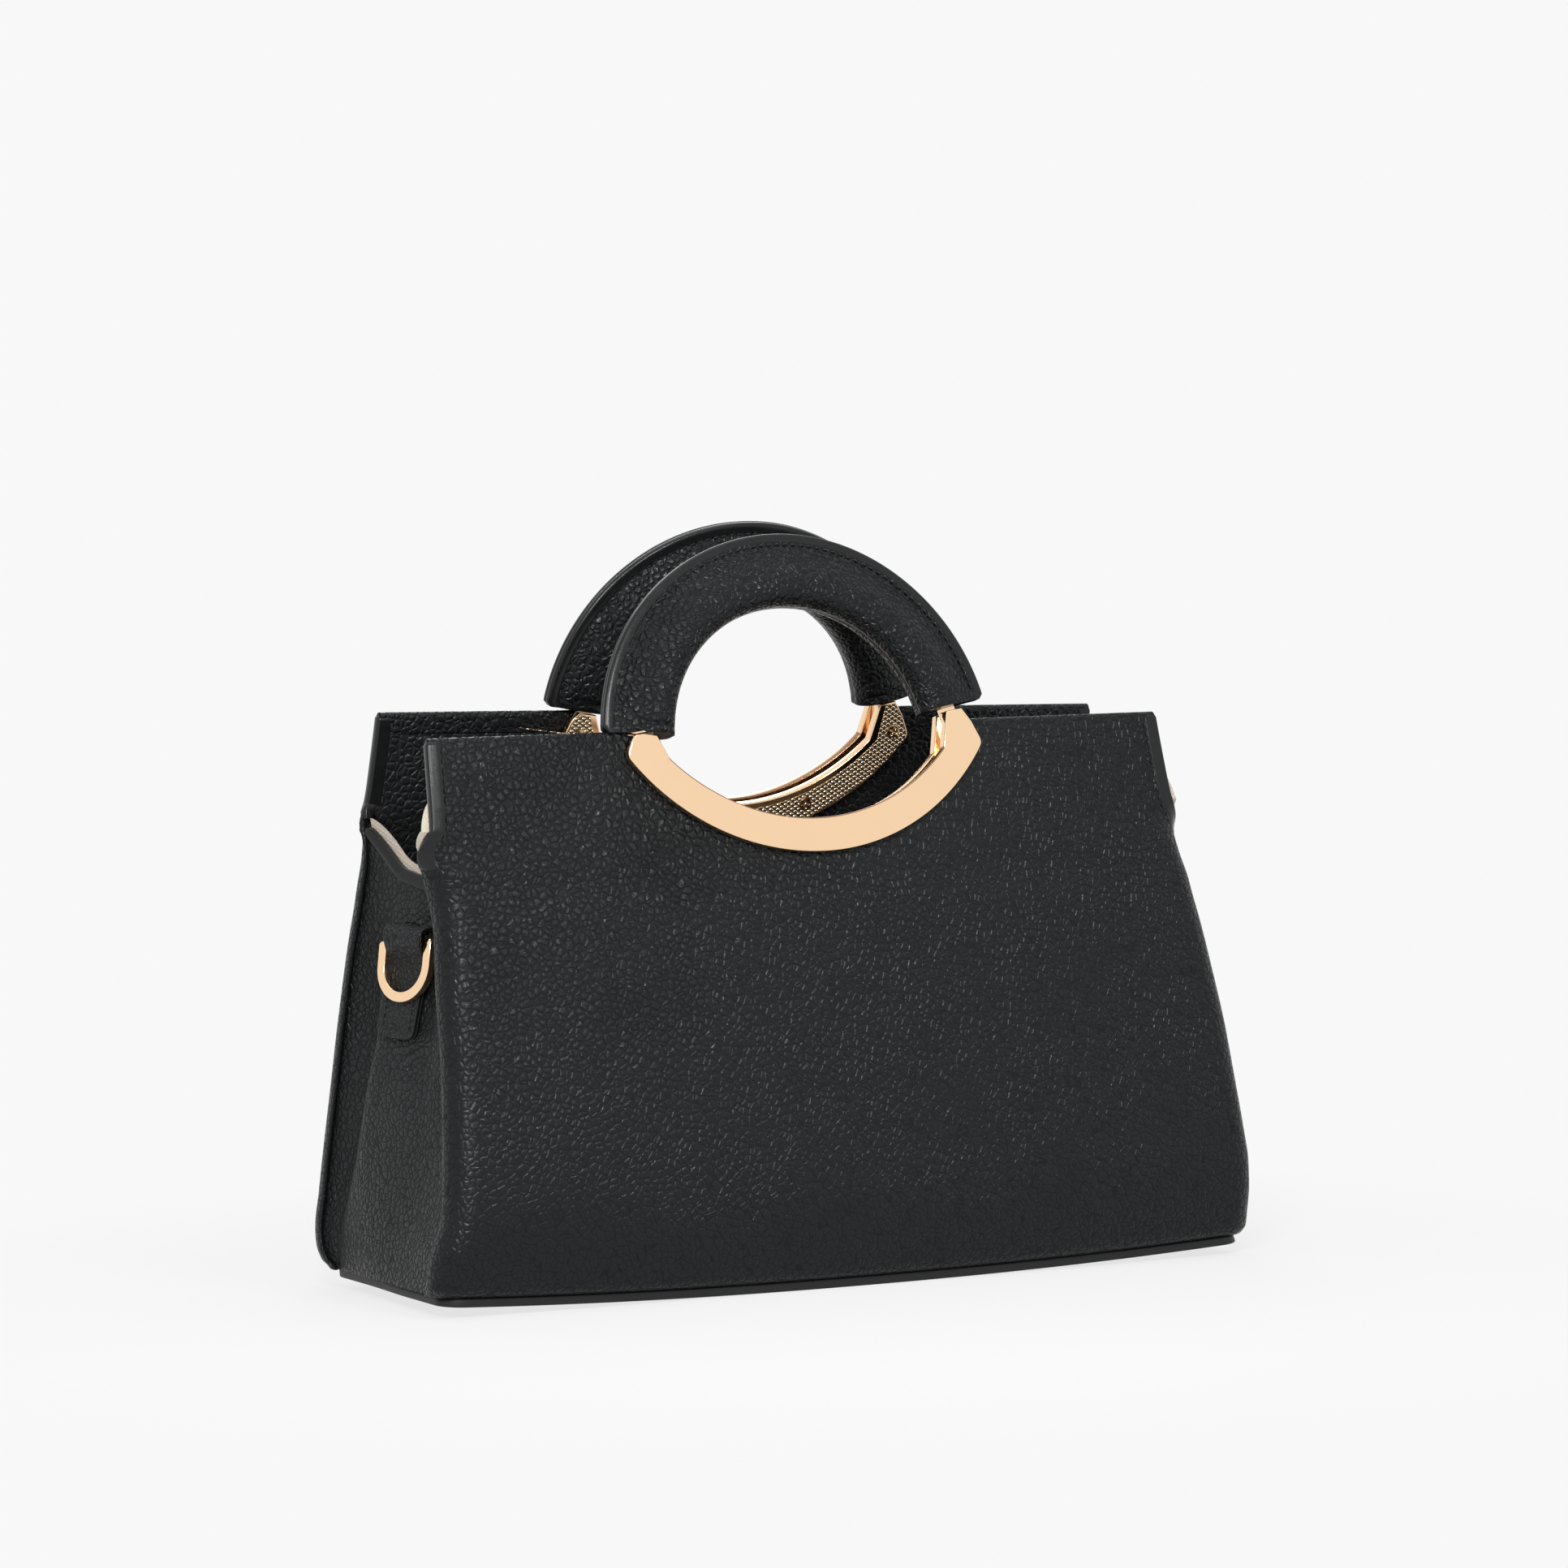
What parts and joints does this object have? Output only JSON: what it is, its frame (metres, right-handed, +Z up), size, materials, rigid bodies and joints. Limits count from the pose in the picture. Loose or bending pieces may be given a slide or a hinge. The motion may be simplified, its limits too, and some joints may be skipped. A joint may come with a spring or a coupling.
{
  "type": "tote bag",
  "caption": "Structured tote bag with a flat sole, sides that fold in, arched padded handles clamped between metal crescent plates, and a hanging D-ring at each end.",
  "frame": {"origin": "centre of the sole on the table", "axes": "+X along the bag to its right end, +Y from the front to the back, +Z up"},
  "size_m": [0.3126, 0.1148, 0.2564],
  "materials": {
    "black_leather": "pebbled satin",
    "painted_edge": "smooth satin",
    "sole_leather": "smooth satin",
    "cream_lining": "woven matte",
    "board": "matte",
    "rose_gold": "polished",
    "screw_gold": "polished"
  },
  "bodies": {
    "base": {"base_sole": "sole_leather", "base_board": "board", "base_lining": "cream_lining", "gusset_left": "black_leather", "gusset_right": "black_leather", "gusset_binding_left": "painted_edge", "gusset_binding_right": "painted_edge", "gusset_lining_left": "cream_lining", "gusset_lining_right": "cream_lining", "ring_tab_left": "black_leather", "ring_tab_right": "black_leather"},
    "front": {"front_panel": "black_leather", "front_facing": "black_leather", "front_lining": "cream_lining", "front_plate": "rose_gold", "front_inner_plate": "rose_gold", "front_screw_1": "screw_gold", "front_screw_2": "screw_gold", "front_screw_3": "screw_gold", "front_screw_4": "screw_gold", "front_handle_core": "rose_gold", "front_sleeve_outer": "black_leather", "front_sleeve_inner": "black_leather"},
    "back": {"back_panel": "black_leather", "back_facing": "black_leather", "back_lining": "cream_lining", "back_plate": "rose_gold", "back_inner_plate": "rose_gold", "back_screw_1": "screw_gold", "back_screw_2": "screw_gold", "back_screw_3": "screw_gold", "back_screw_4": "screw_gold", "back_handle_core": "rose_gold", "back_sleeve_outer": "black_leather", "back_sleeve_inner": "black_leather"},
    "ring_left": {"ring_left": "rose_gold"},
    "ring_right": {"ring_right": "rose_gold"}
  },
  "joints": [
    {"name": "front_open", "type": "hinge", "parent": "base", "child": "front", "pos_m": [0, -0.048, 0.0041], "axis": [1, 0, 0], "range_deg": [-1.2, 3.5], "deforming": ["gusset_left", "gusset_right", "gusset_binding_left", "gusset_binding_right", "gusset_lining_left", "gusset_lining_right"]},
    {"name": "back_open", "type": "hinge", "parent": "base", "child": "back", "pos_m": [0, 0.048, 0.0041], "axis": [-1, 0, 0], "range_deg": [-1.2, 3.5], "deforming": ["gusset_left", "gusset_right", "gusset_binding_left", "gusset_binding_right", "gusset_lining_left", "gusset_lining_right"]},
    {"name": "ring_left_swing", "type": "hinge", "parent": "base", "child": "ring_left", "pos_m": [-0.13777, -0.00148, 0.11768], "axis": [-0.3746, 0.9272, 0], "range_deg": [0, 150]},
    {"name": "ring_right_swing", "type": "hinge", "parent": "base", "child": "ring_right", "pos_m": [0.13777, -0.00148, 0.11768], "axis": [-0.3746, -0.9272, 0], "range_deg": [0, 150]}
  ]
}
